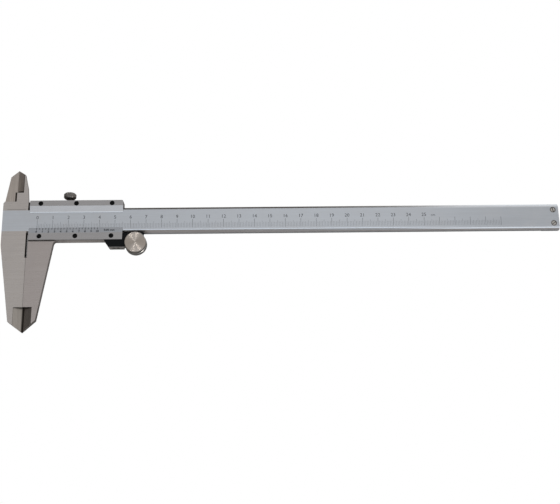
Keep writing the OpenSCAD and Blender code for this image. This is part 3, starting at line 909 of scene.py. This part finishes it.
def make_roller_wheel(material):
    """Dished wheel with a fine straight knurl between its chamfers, and a bore for the axle."""
    radius = (WHEEL_HIGH.x - WHEEL_LOW.x) / 2
    bore = (AXLE_HIGH.x - AXLE_LOW.x) / 2
    low, high = WHEEL_LOW.z, WHEEL_HIGH.z
    chamfer = 0.35
    knurl_depth = 0.12
    teeth = 90
    rim_w = 1.2
    dish = 0.25
    hub_r = 2.4
    rings = [
        (low, plain(bore)), (low, plain(radius - chamfer)), (low + chamfer, plain(radius - 0.04)),
        (low + chamfer + 0.05, knurl(radius, knurl_depth, teeth)),
        (high - chamfer - 0.05, knurl(radius, knurl_depth, teeth)),
        (high - chamfer, plain(radius - 0.04)), (high, plain(radius - chamfer)),
        (high, plain(radius - rim_w)), (high - dish, plain(radius - rim_w - 0.3)),
        (high - dish, plain(hub_r + 0.2)), (high, plain(hub_r)), (high, plain(bore)),
    ]
    mesh = bmesh.new()
    lathe(mesh, rings, teeth * 4, roller_place, bored=True)
    piece = piece_from(mesh, "roller_wheel_knurled", "thumb_roller", material)
    smooth_by_angle(piece)
    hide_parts("roller_wheel")
    return piece


def make_roller_face(material):
    """Faced disc with a polished chamfer and a shallow groove round its rim."""
    radius = (DISC_HIGH.x - DISC_LOW.x) / 2
    low, high = DISC_LOW.z, DISC_HIGH.z
    chamfer = 0.35
    groove = (low + high) / 2
    groove_w = 0.4
    groove_depth = 0.16
    sides = 160
    rings = [
        (low, plain(radius - 1.5)), (low, plain(radius - chamfer)), (low + chamfer, plain(radius)),
        (groove - groove_w / 2, plain(radius)), (groove, plain(radius - groove_depth)),
        (groove + groove_w / 2, plain(radius)), (high - chamfer, plain(radius)),
        (high - 0.03, plain(radius - chamfer + 0.03)), (high, plain(radius - chamfer - 0.05)),
        (high, plain(radius - chamfer - 0.2)), (high, plain(0.5)),
    ]
    mesh = bmesh.new()
    lathe(mesh, rings, sides, roller_place)
    piece = piece_from(mesh, "roller_face_turned", "thumb_roller", material)
    smooth_by_angle(piece, 15)
    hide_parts("roller_face_disc")
    return piece


# ---------------------------------------------------------------- assembly

# Broken edges: points this close in metres are joined, faces within this many degrees count as one,
# and edges sharper than this many degrees are rounded by this width
WELD_REACH = 1e-7
FLAT_WITHIN = 0.5
SHARP_OVER = 28
BREAK_W = 0.08
BREAK_SEGMENTS = 2


def edge_break(obj):
    """Small rounded edges on a CAD node, by modifiers only."""
    weld = obj.modifiers.new("weld", "WELD")
    weld.merge_threshold = WELD_REACH
    flat = obj.modifiers.new("flat_faces", "DECIMATE")
    flat.decimate_type = "DISSOLVE"
    flat.angle_limit = math.radians(FLAT_WITHIN)
    bevel = obj.modifiers.new("edge_break", "BEVEL")
    bevel.width = BREAK_W * MM
    bevel.segments = BREAK_SEGMENTS
    bevel.limit_method = "ANGLE"
    bevel.angle_limit = math.radians(SHARP_OVER)
    bevel.use_clamp_overlap = False
    bevel.harden_normals = True
    bevel.miter_outer = "MITER_ARC"


def dress_cad():
    """Gives every shown CAD node its finish and its broken edges."""
    plate = plate_steel()
    oxide, _ = black_finish("black_oxide", (0.002, 0.002, 0.0022), rough=0.4, specular=0.08)
    black = oxide.material
    bright = ground_steel("bright_steel", colour=(0.52, 0.51, 0.49), drift=(0.40, 0.385, 0.36),
                          rough=0.27, axis=1, contrast=0.16)
    brass = ground_steel("brass_finish", colour=(0.70, 0.52, 0.26), drift=(0.62, 0.46, 0.24), rough=0.3)
    finishes = {
        "main_beam": beam_steel(),
        "slider_frame": slider_steel(),
        "end_stop_plate": plate,
        "end_stop_screws": end_screw_steel(),
        "upper_front_plate": plate,
        "upper_plate_screws": black,
        "vernier_plate": plate,
        "vernier_plate_screws": black,
        "gib_strip": brass,
        "gib_screws": black,
        "depth_rod": bright,
        "depth_rod_screws": bright,
        "roller_bracket": bracket_finish(),
        "bracket_screws": black,
        "roller_leaf_spring": bright,
        "roller_axle": bright,
        "lock_pad": brass,
    }
    for name, material in finishes.items():
        assign(NODES[name], material)
        edge_break(NODES[name])


bpy.context.scene.view_settings.view_transform = "Standard"
make_camera()
make_world()
make_lights()
make_floor()
dress_cad()
ink, _ = black_finish("scale_ink", (0.022, 0.024, 0.028), rough=0.6, specular=0.2)
make_main_scale(ink.material)
make_vernier_scale(ink.material)
dark_steel = ground_steel("dark_steel", colour=(0.28, 0.26, 0.245), drift=(0.18, 0.17, 0.16),
                          rough=0.33, axis=1, contrast=0.2)
wheel_steel = turned_steel("wheel_steel", colour=(0.42, 0.405, 0.39), rough=0.3, anisotropic=0.0)
face_steel = turned_steel("face_steel", colour=(0.55, 0.49, 0.44), rough=0.27, anisotropic=1.0)
light_turned_faces(
    make_lock_screw(dark_steel),
    make_roller_wheel(wheel_steel),
    make_roller_face(face_steel),
)
